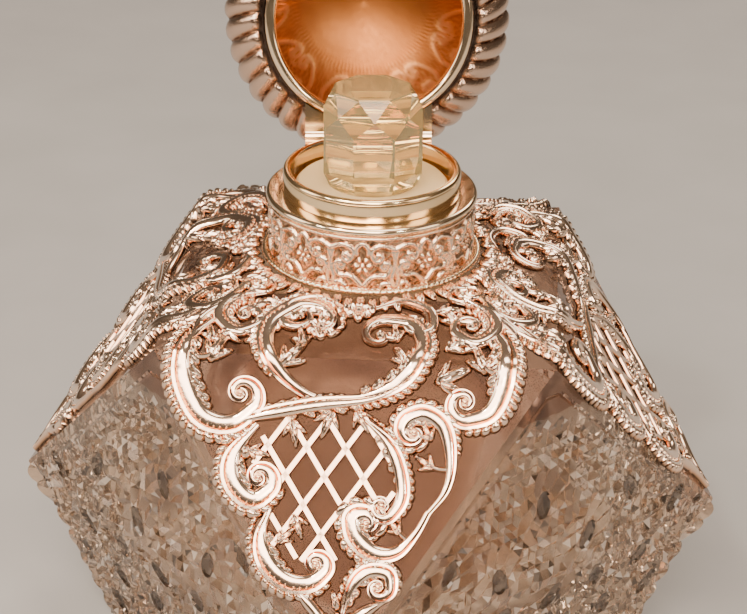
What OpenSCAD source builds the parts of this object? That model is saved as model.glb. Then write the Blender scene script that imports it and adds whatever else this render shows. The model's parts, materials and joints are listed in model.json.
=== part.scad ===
// Silver-mounted cut-glass scent bottle with a hinged dome lid.
// Millimetres. Origin at the centre of the underside, +Z up, the hinge is at the back (+Y).
// The lid is drawn fully open, leaning back on its hinge.

/* [Glass] */
// Side of the square foot
base_side = 76; // [70:1:84]
// Side of the square girdle, the widest part, whose corners point along X and Y
girdle_side = 98; // [94:1:104]
// Height of the girdle
girdle_z = 36; // [30:1:42]
// Side of the square shoulder, whose sides face along X and Y
shoulder_side = 72; // [68:1:76]
// Height of the shoulder's edge
shoulder_z = 82; // [78:1:84]
// Height where the sloping shoulder meets the collar
collar_z = 87; // [86.5:0.5:88]
// Height of the glass lip that the stopper sits on
lip_z = 101.5; // [101:0.1:102]
// Outside radius of the glass neck
neck_r = 14.4; // [13.5:0.1:14.8]
// Radius of the ground bore in the neck, at its top
bore_r = 8; // [7.5:0.1:8.5]
// Thickness of the glass wall at the middle of a side
wall = 9; // [7:0.5:11]

/* [Stopper] */
// Radius across the stopper's faceted knob
knob_r = 10; // [9:0.1:10.5]
// Height of the knob above the glass lip
knob_h = 18.5; // [15:0.5:19]
// Length of the ground plug below the knob
plug_len = 11; // [9:0.5:11.5]
// Running gap between the plug and the bore
plug_gap = 0.05; // [0.03:0.01:0.1]

/* [Collar] */
// Outside radius of the polished flange
flange_r = 20; // [19.5:0.1:20.4]
// Height of the flange's top face, where the lid's rim closes
flange_z = 100; // [99.5:0.1:100]
// Outside radius of the raised bezel that the lid closes round
bezel_r = 16.8; // [16.5:0.1:16.8]
// Height of the bezel above the flange
bezel_h = 4.3; // [3.5:0.1:4.5]
// Thickness of the bezel's wall
bezel_wall = 1.6; // [1.3:0.1:1.8]
// Turn of the collar, its hinge and the lid on the neck, in degrees from straight back
collar_turn = 6.5; // [0:0.5:8]

/* [Lid] */
// Outside radius of the lid's rim
rim_r = 20.4; // [20:0.1:20.6]
// Greatest radius of the lid's bulbous dome
dome_r = 28.2; // [27:0.1:29]
// Height of the dome's widest ring above the rim's face
bulge_h = 13; // [12:0.5:14]
// Height of the whole lid above the rim's face
dome_h = 38; // [37:0.5:40]
// Thickness of the dome's silver
dome_wall = 1.1; // [0.9:0.1:1.3]
// Angle from closed to fully open
open_angle = 102; // [95:1:108]

/* [Hinge] */
// Distance of the hinge axis behind the bottle's axis
hinge_y = 23; // [22.8:0.1:23.4]
// Width of the hinge along its axis
hinge_w = 25; // [22:0.5:26]
// Outside radius of the hinge knuckles
knuckle_r = 1.5; // [1.4:0.05:1.6]
// Radius of the hinge pin
pin_r = 0.65; // [0.55:0.05:0.7]

/* [Pierced mounts] */
// Thickness of the pierced silver
silver_t = 0.8; // [0.6:0.1:1]
// Width of one bar of the trellis
bar_w = 0.9; // [0.7:0.1:1.2]
// Distance between the trellis bars, across the facet
trellis_pitch = 7; // [6:0.5:8]

/* [Hidden] */
$fn = 96;
eps = 0.01;
sheet = 0.02;
shoulder_half = shoulder_side / 2;
girdle_reach = girdle_side / sqrt(2);
roof_half = 21;
collar_foot_r = 20.8;
band_r = 19.6;
band_wall = 1.1;
bedding_gap = 0.1;
overlap = 1;
flange_t = 1.6;
flange_inner_r = neck_r + 0.3;
cavity_floor = 13;
cavity_round = 11;
shoulder_wall = 1.3 * wall;
plug_drop_r = 0.6;
plug_relief = 0.5;
hinge_z = flange_z + 1;
rim_inner_r = 18.3;
rim_lift = 0.1;
rim_h = 2.6;
bracket_t = 1.2;
leaf_t = 1.3;
knuckles = 5;
knuckle_gap = 0.12;
knuckle_web = 1.3;
leaf_gap = 0.2;
knuckle_len = hinge_w / knuckles;
pin_clearance = 0.05;
facet_rise = shoulder_z - girdle_z;
facet_run = girdle_reach - shoulder_half;
facet_len = sqrt(facet_rise * facet_rise + facet_run * facet_run);
facet_tilt = atan2(facet_rise, facet_run);
roof_tilt = atan2(collar_z - shoulder_z, shoulder_half - roof_half);
roof_len = (shoulder_half - roof_half) / cos(roof_tilt);
skin_dir = (facet_tilt + roof_tilt) / 2;
mount_inset = 0.4;
mount_gap = 0.05;
bead_len = shoulder_side - 16;
roof_notch_v = 7;
roof_hole_v = 8;
roof_hole_r = 3;
trellis_x = -3;
trellis_y = -22;
bar_len = 30;
mount_tilt_room = 0.3;
// Scroll rings on the facet: X, Y, outside radius, width
facet_rings = [
    [-23.6, -5, 8.4, 3.2],
    [-8, -1.2, 8.2, 2.4],
    [5.6, -0.6, 8, 2.4],
    [19.6, -3, 8.4, 2.6],
    [-15, -18.6, 7.4, 2.6],
    [12.6, -16.6, 6.8, 2.4],
    [6.4, -26, 6, 2.2],
    [-8.4, -33.6, 7, 2.6],
    [5.2, -37.2, 5.4, 2.2]
];
// Eyes of the scrolls: X, Y, radius
facet_eyes = [
    [-19.6, -8, 2.8],
    [-6, -4, 2.6],
    [20.2, -8, 2.6],
    [-1, -43.2, 3.6]
];

// ---------- Glass ----------

// A thin square plate, turned so that its corners point along X and Y when turn is 45
module square_plate(side, z, turn) {
    translate([0, 0, z])
        rotate([0, 0, turn])
            translate([-side / 2, -side / 2, 0])
                cube([side, side, sheet]);
}

// The cut outside of the bottle: foot, girdle and shoulder squares joined by flat facets
module glass_form() {
    hull() {
        square_plate(base_side, 0, 45);
        square_plate(girdle_side, girdle_z - sheet / 2, 45);
        square_plate(shoulder_side, shoulder_z - sheet, 0);
        square_plate(2 * roof_half, collar_z - sheet, 0);
    }
}

// Four upright rods at the corners of a square, for the rounded cavity
module cavity_ring(side, z, turn) {
    reach = side / 2 - cavity_round;
    for (i = [0 : 3])
        translate([0, 0, z])
            rotate([0, 0, turn + 90 * i])
                translate([reach, reach, 0])
                    cylinder(r = cavity_round, h = sheet, $fn = 32);
}

// The hollow that holds the scent, following the outside at the wall's thickness
module glass_cavity() {
    hull() {
        cavity_ring(base_side - 2 * wall, cavity_floor, 45);
        cavity_ring(girdle_side - 2 * wall, girdle_z, 45);
        cavity_ring(shoulder_side - 2 * shoulder_wall, shoulder_z - wall, 0);
    }
}

module glass_body() {
    color("mistyrose", 0.45)
        difference() {
            union() {
                glass_form();
                translate([0, 0, collar_z - eps])
                    cylinder(r = neck_r, h = lip_z - collar_z + eps);
            }
            glass_cavity();
            translate([0, 0, shoulder_z - wall - overlap])
                cylinder(r = bore_r - plug_drop_r, h = lip_z - shoulder_z + wall + 2 * overlap);
            translate([0, 0, lip_z - plug_len - plug_relief])
                cylinder(r1 = bore_r - plug_drop_r, r2 = bore_r, h = plug_len + plug_relief + eps);
        }
}

// Eight-sided knob with bevelled facets above and below, on a tapered ground plug
module glass_stopper() {
    seat = 0.05;
    sides = 8;
    foot_r = bore_r + 0.6;
    foot_h = 2.4;
    bevel_h = 4.6;
    table_r = 7.4;
    plug_r = bore_r - plug_gap;
    color("seashell", 0.5)
        translate([0, 0, lip_z + seat])
            rotate([0, 0, collar_turn + 180 / sides])
                union() {
                    translate([0, 0, -plug_len])
                        cylinder(r1 = plug_r - plug_drop_r, r2 = plug_r, h = plug_len + eps);
                    cylinder(r1 = foot_r, r2 = knob_r, h = foot_h, $fn = sides);
                    translate([0, 0, foot_h - eps])
                        cylinder(r = knob_r, h = knob_h - foot_h - bevel_h + 2 * eps, $fn = sides);
                    translate([0, 0, knob_h - bevel_h])
                        cylinder(r1 = knob_r, r2 = table_r, h = bevel_h, $fn = sides);
                }
}

// ---------- Collar ----------

module plaster_bedding() {
    bedding_h = flange_z - flange_t - collar_z - 2 * bedding_gap;
    color("ivory")
        translate([0, 0, collar_z + bedding_gap])
            difference() {
                cylinder(r = band_r - band_wall - bedding_gap, h = bedding_h);
                translate([0, 0, -overlap])
                    cylinder(r = neck_r + bedding_gap, h = bedding_h + 2 * overlap);
            }
}

// Embossed band: a plain sleeve with a shallow cove between two beads
module collar_band() {
    band_h = flange_z - flange_t - collar_z;
    cove = 0.35;
    slope_h = 0.8;
    low_bead = 1.6;
    high_bead = 0.8;
    color("rosybrown")
        translate([0, 0, collar_z])
            rotate_extrude()
                polygon([
                    [band_r - band_wall, bedding_gap],
                    [band_r, bedding_gap],
                    [band_r, low_bead],
                    [band_r - cove, low_bead + slope_h],
                    [band_r - cove, band_h - high_bead - slope_h],
                    [band_r, band_h - high_bead],
                    [band_r, band_h],
                    [band_r - band_wall, band_h]
                ]);
}

module collar_foot_wire() {
    wire_r = 0.65;
    wire_gap = 0.03;
    wire_lift = wire_r + bedding_gap;
    color("mistyrose")
        translate([0, 0, collar_z + wire_lift])
            rotate_extrude()
                translate([band_r + wire_r + wire_gap, 0])
                    circle(r = wire_r, $fn = 24);
}

module collar_flange() {
    round_r = flange_t / 2;
    color("bisque")
        translate([0, 0, flange_z - flange_t])
            rotate_extrude()
                union() {
                    translate([flange_inner_r, 0])
                        square([flange_r - round_r - flange_inner_r, flange_t]);
                    translate([flange_r - round_r, round_r])
                        circle(r = round_r, $fn = 32);
                }
}

module collar_bezel() {
    lip_r = bezel_wall / 2;
    color("bisque")
        translate([0, 0, flange_z])
            rotate_extrude()
                union() {
                    translate([bezel_r - bezel_wall, 0])
                        square([bezel_wall, bezel_h - lip_r]);
                    translate([bezel_r - lip_r, bezel_h - lip_r])
                        circle(r = lip_r, $fn = 32);
                }
}

// ---------- Pierced mounts ----------

// Puts a drawing on the front facet: X along the shoulder's edge, Y up the slope
module on_facet() {
    translate([0, -shoulder_half, shoulder_z])
        rotate([facet_tilt, 0, 0])
            translate([0, 0, mount_gap])
                children();
}

// Puts a drawing on the roof above it: X along the shoulder's edge, Y up towards the collar
module on_roof() {
    translate([0, -shoulder_half, shoulder_z])
        rotate([roof_tilt, 0, 0])
            translate([0, 0, mount_gap])
                children();
}

module scroll_ring(x, y, r, w) {
    translate([x, y])
        difference() {
            circle(r = r);
            circle(r = r - w);
        }
}

module scroll_eye(x, y, r) {
    translate([x, y])
        circle(r = r);
}

// Diagonal bars that cross behind the scrolls
module trellis() {
    slant = 40;
    for (side = [-1, 1])
        for (i = [-1 : 1])
            translate([trellis_x + i * trellis_pitch, trellis_y])
                rotate([0, 0, side * slant])
                    translate([-bar_w / 2, -bar_len / 2])
                        square([bar_w, bar_len]);
}

// Flat outline of the facet, kept clear of its edges
module facet_outline() {
    polygon([
        [-shoulder_half + mount_inset, 0],
        [0, mount_inset - facet_len],
        [shoulder_half - mount_inset, 0]
    ]);
}

// Scrolls on the facet as rings, eyes, a band and a trellis: one connected pierced sheet
module facet_scrollwork() {
    bridge_at = [-22, -10.8];
    bridge_slant = 8;
    bridge_size = [32, 2.2];
    stem_low = -51;
    stem_size = [3.2, 8];
    intersection() {
        facet_outline();
        union() {
            for (ring = facet_rings)
                scroll_ring(ring[0], ring[1], ring[2], ring[3]);
            for (eye = facet_eyes)
                scroll_eye(eye[0], eye[1], eye[2]);
            trellis();
            translate(bridge_at)
                rotate([0, 0, bridge_slant])
                    square(bridge_size);
            translate([-stem_size[0] / 2, stem_low])
                square(stem_size);
        }
    }
}

// Band on the roof, between the shoulder's edge and the collar, with round openings
module roof_scrollwork() {
    side_inset = 8;
    difference() {
        polygon([
            [-shoulder_half + side_inset, 0],
            [shoulder_half - side_inset, 0],
            [shoulder_half - side_inset, roof_notch_v],
            [roof_half, roof_len],
            [-roof_half, roof_len],
            [-shoulder_half + side_inset, roof_notch_v]
        ]);
        for (x = [-19.5, -6.5, 6.5, 19.5])
            translate([x, roof_hole_v])
                circle(r = roof_hole_r);
    }
}

// The silver lies on the facet and on the roof above it, joined by a bead along the fold
module pierced_mount() {
    bead_r = silver_t / 2;
    bead_out = mount_gap + bead_r;
    bead_y = -shoulder_half - bead_out * sin(skin_dir);
    bead_z = shoulder_z + bead_out * cos(skin_dir);
    difference() {
        union() {
            on_facet()
                linear_extrude(height = silver_t)
                    facet_scrollwork();
            on_roof()
                linear_extrude(height = silver_t)
                    roof_scrollwork();
            translate([-bead_len / 2, bead_y, bead_z])
                rotate([0, 90, 0])
                    cylinder(r = bead_r, h = bead_len);
        }
        translate([0, 0, shoulder_z])
            cylinder(r = collar_foot_r + mount_tilt_room, h = collar_z);
    }
}

module front_mount() {
    color("rosybrown")
        pierced_mount();
}

module right_mount() {
    color("rosybrown")
        rotate([0, 0, 90])
            pierced_mount();
}

module back_mount() {
    color("rosybrown")
        rotate([0, 0, 180])
            pierced_mount();
}

module left_mount() {
    color("rosybrown")
        rotate([0, 0, 270])
            pierced_mount();
}

// ---------- Hinge ----------

// Turns hinge and lid parts with the collar
module with_collar() {
    rotate([0, 0, collar_turn])
        children();
}

// One knuckle of the barrel, by its place along the axis, with a web down or forward to its leaf
module knuckle(i, hole_r, web) {
    start = -hinge_w / 2 + i * knuckle_len + knuckle_gap / 2;
    length = knuckle_len - knuckle_gap;
    translate([start, hinge_y, hinge_z])
        difference() {
            union() {
                rotate([0, 90, 0])
                    cylinder(r = knuckle_r, h = length, $fn = 48);
                translate(web[0])
                    cube([length, web[1], web[2]]);
            }
            translate([-overlap, 0, 0])
                rotate([0, 90, 0])
                    cylinder(r = hole_r, h = length + 2 * overlap, $fn = 48);
        }
}

// Bracket behind the collar, with the second and fourth knuckles
module collar_hinge_bracket() {
    plate_top = hinge_z - knuckle_r - leaf_gap;
    plate_reach = hinge_y + knuckle_web / 2;
    web_drop = hinge_z - plate_top + bracket_t;
    color("bisque")
        with_collar() {
            difference() {
                translate([-hinge_w / 2, 0, plate_top - bracket_t])
                    cube([hinge_w, plate_reach, bracket_t]);
                translate([0, 0, plate_top - bracket_t - overlap])
                    cylinder(r = flange_r + sheet, h = bracket_t + 2 * overlap);
            }
            for (i = [1, 3])
                knuckle(i, pin_r, [[0, -knuckle_web / 2, -web_drop], knuckle_web, web_drop]);
        }
}

module hinge_pin() {
    color("gainsboro")
        with_collar()
            translate([-hinge_w / 2, hinge_y, hinge_z])
                rotate([0, 90, 0])
                    cylinder(r = pin_r, h = hinge_w, $fn = 48);
}

// ---------- Lid ----------

// Draws lid parts closed and turns them back to fully open
module opened() {
    with_collar()
        translate([0, hinge_y, hinge_z])
            rotate([-open_angle, 0, 0])
                translate([0, -hinge_y, -hinge_z])
                    children();
}

module lid_rim() {
    edge_r = 0.5;
    rim_w = rim_r - rim_inner_r;
    color("bisque")
        opened()
            translate([0, 0, flange_z + rim_lift])
                rotate_extrude()
                    union() {
                        translate([rim_inner_r, 0])
                            square([rim_w - edge_r, rim_h]);
                        translate([rim_inner_r, edge_r])
                            square([rim_w, rim_h - edge_r]);
                        translate([rim_r - edge_r, edge_r])
                            circle(r = edge_r, $fn = 24);
                    }
}

// Wide plain leaf from the rim to the outer and middle knuckles
module lid_hinge_leaf() {
    leaf_z = flange_z + rim_lift;
    leaf_front = rim_inner_r / 2;
    leaf_back = hinge_y - knuckle_r - leaf_gap;
    web_out = hinge_y - rim_r - leaf_gap;
    color("bisque")
        opened()
            union() {
                difference() {
                    translate([-hinge_w / 2, leaf_front, leaf_z])
                        cube([hinge_w, leaf_back - leaf_front, leaf_t]);
                    translate([0, 0, leaf_z - overlap])
                        cylinder(r = rim_r + sheet, h = leaf_t + 2 * overlap);
                }
                for (i = [0, 2, 4])
                    knuckle(i, pin_r + pin_clearance,
                        [[0, -web_out, leaf_z - hinge_z], web_out, leaf_t]);
            }
}

// Half profile of a bulb: lower quarter from the rim's radius, upper quarter to the crown
function bulb(steps, r, lower, upper, start_h) = concat(
    [for (i = [0 : steps])
        let (a0 = asin((start_h - bulge_h) / lower), a = a0 - a0 * i / steps)
        [r * cos(a), bulge_h + lower * sin(a)]],
    [for (i = [1 : steps])
        let (a = 90 * i / steps)
        [r * cos(a), bulge_h + upper * sin(a)]]
);

module lid_dome() {
    steps = 14;
    lower = 15.1;
    upper = dome_h - bulge_h;
    start_h = rim_h + rim_lift;
    outside = bulb(steps, dome_r, lower, upper, start_h);
    inside = bulb(steps, dome_r - dome_wall, lower - dome_wall, upper - dome_wall, start_h);
    color("rosybrown")
        opened()
            translate([0, 0, flange_z])
                rotate_extrude()
                    polygon(concat(outside, [for (i = [len(inside) - 1 : -1 : 0]) inside[i]]));
}

glass_body();
glass_stopper();
plaster_bedding();
collar_band();
collar_foot_wire();
collar_flange();
collar_bezel();
front_mount();
right_mount();
back_mount();
left_mount();
collar_hinge_bracket();
hinge_pin();
lid_rim();
lid_hinge_leaf();
lid_dome();
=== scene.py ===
"""Looks for a silver-mounted cut-glass scent bottle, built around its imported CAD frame.

Sizes in the shape functions are millimetres in the part's own frame; mesh_object turns them into metres.
"""
import json
import math
import random

import bmesh
import bpy
import numpy as np
from mathutils import Matrix, Vector
from mathutils.geometry import delaunay_2d_cdt


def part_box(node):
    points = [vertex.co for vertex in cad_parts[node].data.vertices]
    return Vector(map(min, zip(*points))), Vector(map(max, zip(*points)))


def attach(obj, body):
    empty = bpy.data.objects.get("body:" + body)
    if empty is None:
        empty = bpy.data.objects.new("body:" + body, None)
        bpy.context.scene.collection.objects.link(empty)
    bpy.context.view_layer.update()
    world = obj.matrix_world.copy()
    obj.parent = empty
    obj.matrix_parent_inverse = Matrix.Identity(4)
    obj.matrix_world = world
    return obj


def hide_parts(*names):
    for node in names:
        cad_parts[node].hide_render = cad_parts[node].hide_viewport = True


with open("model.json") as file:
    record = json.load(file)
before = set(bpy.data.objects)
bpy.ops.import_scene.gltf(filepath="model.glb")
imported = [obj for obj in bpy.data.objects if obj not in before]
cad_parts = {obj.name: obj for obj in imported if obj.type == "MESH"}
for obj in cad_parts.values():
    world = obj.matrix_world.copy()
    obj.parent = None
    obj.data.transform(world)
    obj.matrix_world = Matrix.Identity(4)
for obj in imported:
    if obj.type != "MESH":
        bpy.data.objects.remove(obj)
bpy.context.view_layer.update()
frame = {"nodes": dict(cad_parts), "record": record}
MM = 0.001


# ---------------------------------------------------------------- sizes, from the frame

def box_mm(node):
    """A CAD node's lowest and highest corners, in millimetres."""
    low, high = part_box(node)
    return np.array(low) / MM, np.array(high) / MM


def glass_levels():
    """Reads the cut outline of the glass from its CAD mesh: how far out its squares reach, and how high."""
    mesh = frame["nodes"]["glass_body"].data
    points = np.empty(len(mesh.vertices) * 3)
    mesh.vertices.foreach_get("co", points)
    points = points.reshape(-1, 3) / MM
    foot = points[points[:, 2] < 0.1, 0].max()
    girdle = points[points[:, 0].argmax()]
    shoulder = points[np.minimum(points[:, 0], points[:, 1]).argmax()]
    return foot, girdle[0], girdle[2], shoulder[0], shoulder[2]


FOOT, GIRDLE, GIRDLE_Z, SHOULDER, SHOULDER_Z = glass_levels()
BEDDING_GAP = 0.1
COLLAR_Z = box_mm("collar_band")[0][2] - BEDDING_GAP
LIP_Z = box_mm("glass_body")[1][2]
BAND_R = box_mm("collar_band")[1][0]
FLANGE_R = box_mm("collar_flange")[1][0]
FLANGE_LOW, FLANGE_Z = box_mm("collar_flange")[0][2], box_mm("collar_flange")[1][2]
BEZEL_R = box_mm("collar_bezel")[1][0]
BEZEL_Z = box_mm("collar_bezel")[1][2]
LID_JOINT = next(j for j in frame["record"]["behaviour"]["joints"] if j["name"] == "lid_hinge")
COLLAR_TURN = math.atan2(LID_JOINT["axis"][1], LID_JOINT["axis"][0])
HINGE = np.array([0, math.hypot(*LID_JOINT["pos_m"][:2]), LID_JOINT["pos_m"][2]]) / MM
OPEN_ANGLE = math.radians(max(LID_JOINT["range_deg"]))
ROOF_HALF = 21.0
NECK_R = 14.4
BORE_R = 8.0
RIM_R = 20.4
RIM_INNER = 18.3
DOME_R = 28.2
BULGE_H = 13.0
DOME_H = 38.0
DOME_LOWER = 15.1
DOME_WALL = 1.1
# Kept open at the crown, so that its points stay apart
AXIS_GAP = 0.02
RIM_H = 2.7


# ---------------------------------------------------------------- mesh helpers

def mesh_object(name, verts, faces, looks, sharp_deg=40, smooth=True, relief=None):
    """Makes an object from millimetre points, with an optional 0-1 relief value per point."""
    mesh = bpy.data.meshes.new(name)
    mesh.from_pydata((np.asarray(verts, dtype=float) * MM).tolist(), [], [tuple(map(int, f)) for f in faces])
    mesh.update()
    for look in looks:
        mesh.materials.append(look)
    if relief is not None:
        layer = mesh.attributes.new("relief", "FLOAT", "POINT")
        layer.data.foreach_set("value", np.asarray(relief, dtype=np.float32))
    if smooth:
        mesh.polygons.foreach_set("use_smooth", [True] * len(mesh.polygons))
        mesh.set_sharp_from_angle(angle=math.radians(sharp_deg))
    piece = bpy.data.objects.new(name, mesh)
    bpy.context.scene.collection.objects.link(piece)
    return piece


def grid_faces(rows, columns, close=False):
    """Quads between rings of points; close joins the last ring to the first."""
    return [(r * columns + c, r * columns + (c + 1) % columns,
             (r + 1) % rows * columns + (c + 1) % columns, (r + 1) % rows * columns + c)
            for r in range(rows if close else rows - 1) for c in range(columns)]


def tube_faces(rows, columns):
    """The faces of a closed tube with both its ends capped."""
    last = (rows - 1) * columns
    return grid_faces(rows, columns) + [tuple(range(columns - 1, -1, -1)), tuple(range(last, last + columns))]


def full_turn(steps):
    """Even angles right round."""
    return np.linspace(0, 2 * math.pi, steps, endpoint=False)


def ring_points(radius, turn, z):
    """Points by radius, angle and height round the Z axis."""
    radius, turn, z = np.broadcast_arrays(radius, turn, z)
    return np.stack([radius * np.cos(turn), radius * np.sin(turn), z], -1).reshape(-1, 3)


def lathe(profile, steps):
    """Turns a closed outline of (radius, height) points round the Z axis."""
    rings = [ring_points(r, full_turn(steps), z) for r, z in profile]
    return np.concatenate(rings), grid_faces(len(profile), steps, close=True)


def arc(cx, cy, r, start, end, steps):
    """Points of an arc, angles in degrees."""
    angles = np.radians(np.linspace(start, end, steps))
    return [(cx + r * math.cos(a), cy + r * math.sin(a)) for a in angles]


def about_z(points, angle):
    """Points turned about the bottle's axis."""
    c, s = math.cos(angle), math.sin(angle)
    x, y, z = points.T
    return np.stack([x * c - y * s, x * s + y * c, z], 1)


def opened(points):
    """Turns points of the closed lid back to where it stands fully open."""
    rel = np.asarray(points, dtype=float) - HINGE
    c, s = math.cos(-OPEN_ANGLE), math.sin(-OPEN_ANGLE)
    y = rel[:, 1] * c - rel[:, 2] * s
    z = rel[:, 1] * s + rel[:, 2] * c
    return about_z(np.stack([rel[:, 0], y, z], 1) + HINGE, COLLAR_TURN)


def smooth_step(low, high, x):
    t = np.clip((np.asarray(x, dtype=float) - low) / (high - low), 0, 1)
    return t * t * (3 - 2 * t)


# ---------------------------------------------------------------- curves of the ornament

def spline(points, step=0.4):
    """A smooth curve through the points, sampled about every step millimetres."""
    p = [np.array(q, dtype=float) for q in points]
    p = [2 * p[0] - p[1]] + p + [2 * p[-1] - p[-2]]
    out = []
    for a, b, c, d in zip(p, p[1:], p[2:], p[3:]):
        count = max(2, int(np.linalg.norm(c - b) / step))
        for t in np.linspace(0, 1, count, endpoint=False):
            out.append(0.5 * (2 * b + (c - a) * t + (2 * a - 5 * b + 4 * c - d) * t * t
                              + (3 * b - a - 3 * c + d) * t ** 3))
    out.append(p[-2])
    return np.array(out)


def curl(path, eye, turns, end_r=0.5):
    """Carries a path on from its last point, winding in round an eye."""
    eye = np.array(eye, dtype=float)
    spoke = path[-1] - eye
    heading = path[-1] - path[-3]
    way = 1 if spoke[0] * heading[1] - spoke[1] * heading[0] > 0 else -1
    start_r = np.linalg.norm(spoke)
    start = math.atan2(spoke[1], spoke[0])
    t = np.linspace(0, 1, int(turns * 34))[1:]
    radius = start_r * (end_r / start_r) ** t
    angle = start + way * turns * 2 * math.pi * t
    return np.concatenate([path, eye + np.stack([radius * np.cos(angle), radius * np.sin(angle)], 1)])


def run_along(path):
    """How far along a path each of its points lies."""
    return np.concatenate([[0], np.cumsum(np.linalg.norm(np.diff(path, axis=0), axis=1))])


def sample(path, run, at):
    """A path's points at the given distances along it."""
    return np.stack([np.interp(at, run, path[:, k]) for k in (0, 1)], 1)


def frame_along(path):
    """A path's unit tangents, and the unit vectors to their left."""
    tangent = np.gradient(path, axis=0)
    tangent /= np.linalg.norm(tangent, axis=1)[:, None] + 1e-9
    return tangent, np.stack([-tangent[:, 1], tangent[:, 0]], 1)


def step_at(path, run, at):
    """A path's point at a distance along it, its heading there and the unit vector to its left."""
    k = min(int(np.searchsorted(run, at)), len(path) - 2)
    ahead = path[k + 1] - path[k]
    ahead = ahead / (np.linalg.norm(ahead) + 1e-9)
    return path[k], math.atan2(ahead[1], ahead[0]), np.array([-ahead[1], ahead[0]])


def unit(angle):
    return np.array([math.cos(angle), math.sin(angle)])


def even_out(path, step=0.35, passes=6):
    """Spaces a path's points evenly and softens its kinks."""
    run = run_along(path)
    path = sample(path, run, np.linspace(0, run[-1], max(8, int(run[-1] / step))))
    for _ in range(passes):
        path[1:-1] = (path[:-2] + 2 * path[1:-1] + path[2:]) / 4
    return path


def scroll(points, start_eye=None, end_eye=None, turns=1.4):
    """A C- or S-scroll: a spline that winds up round an eye at either end."""
    path = spline(points)
    if end_eye is not None:
        path = curl(path, end_eye, turns)
    if start_eye is not None:
        path = curl(path[::-1], start_eye, turns)[::-1]
    return even_out(path)


# ---------------------------------------------------------------- chased relief sheets

GROOVED = [(-1, 0), (-1, .42), (-.86, .78), (-.55, .96), (-.1, 1), (.28, .9), (.42, .5),
           (.56, .82), (.84, .8), (1, .42), (1, 0)]
ROUND = [(-1, 0), (-.92, .45), (-.62, .84), (0, 1), (.62, .84), (.92, .45), (1, 0)]
FLAT = [(-1, 0), (-1, .7), (-.7, 1), (.7, 1), (1, .7), (1, 0)]


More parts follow.
